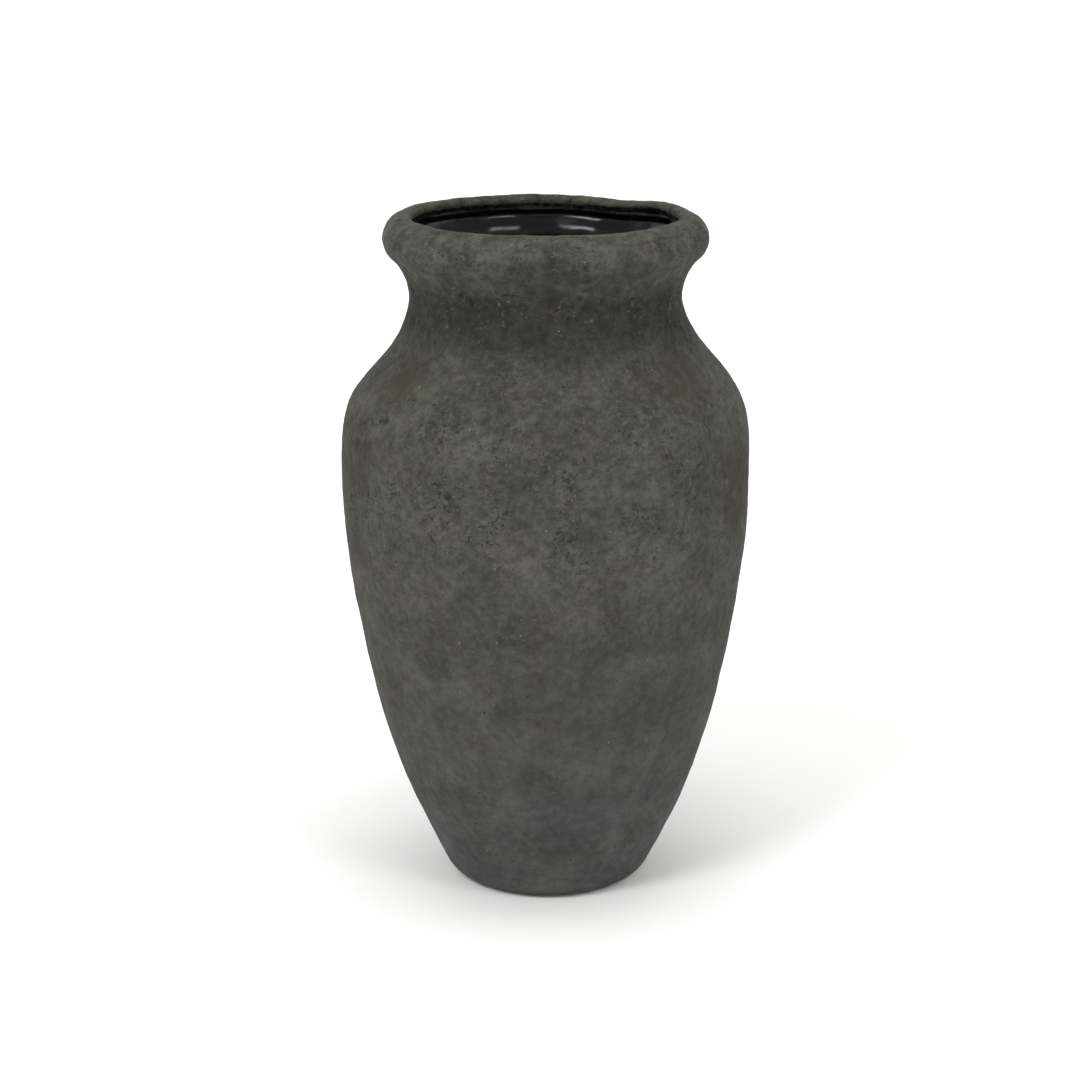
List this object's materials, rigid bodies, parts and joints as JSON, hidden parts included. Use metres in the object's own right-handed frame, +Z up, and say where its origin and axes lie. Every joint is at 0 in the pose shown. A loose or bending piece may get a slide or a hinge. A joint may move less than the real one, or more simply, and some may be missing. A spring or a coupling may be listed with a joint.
{
  "type": "black clay jar",
  "caption": "Tall black clay jar with a gritty matte outside, narrow neck, rolled rim and glossy lining, for standing stems, sticks or as an ornament.",
  "frame": {"origin": "middle of the flat foot, on the surface that the jar stands on", "axes": "+Z up along the jar's axis; X and Y are alike, because the jar is round"},
  "size_m": [0.239, 0.239, 0.4],
  "materials": {
    "bare_clay": "matte, dry, slightly sandy fired clay",
    "black_glaze": "glossy black glaze with soft finger waves",
    "gritty_slip": "matte charcoal slip full of grit, with patches of small pits"
  },
  "bodies": {
    "root": {"foot_slab": "bare_clay", "foot_wall": "bare_clay", "lower_wall": "bare_clay", "belly_wall": "bare_clay", "shoulder_wall": "bare_clay", "neck_collar": "bare_clay", "rim_coil": "bare_clay", "inner_glaze": "black_glaze", "outer_slip": "gritty_slip"}
  },
  "joints": []
}
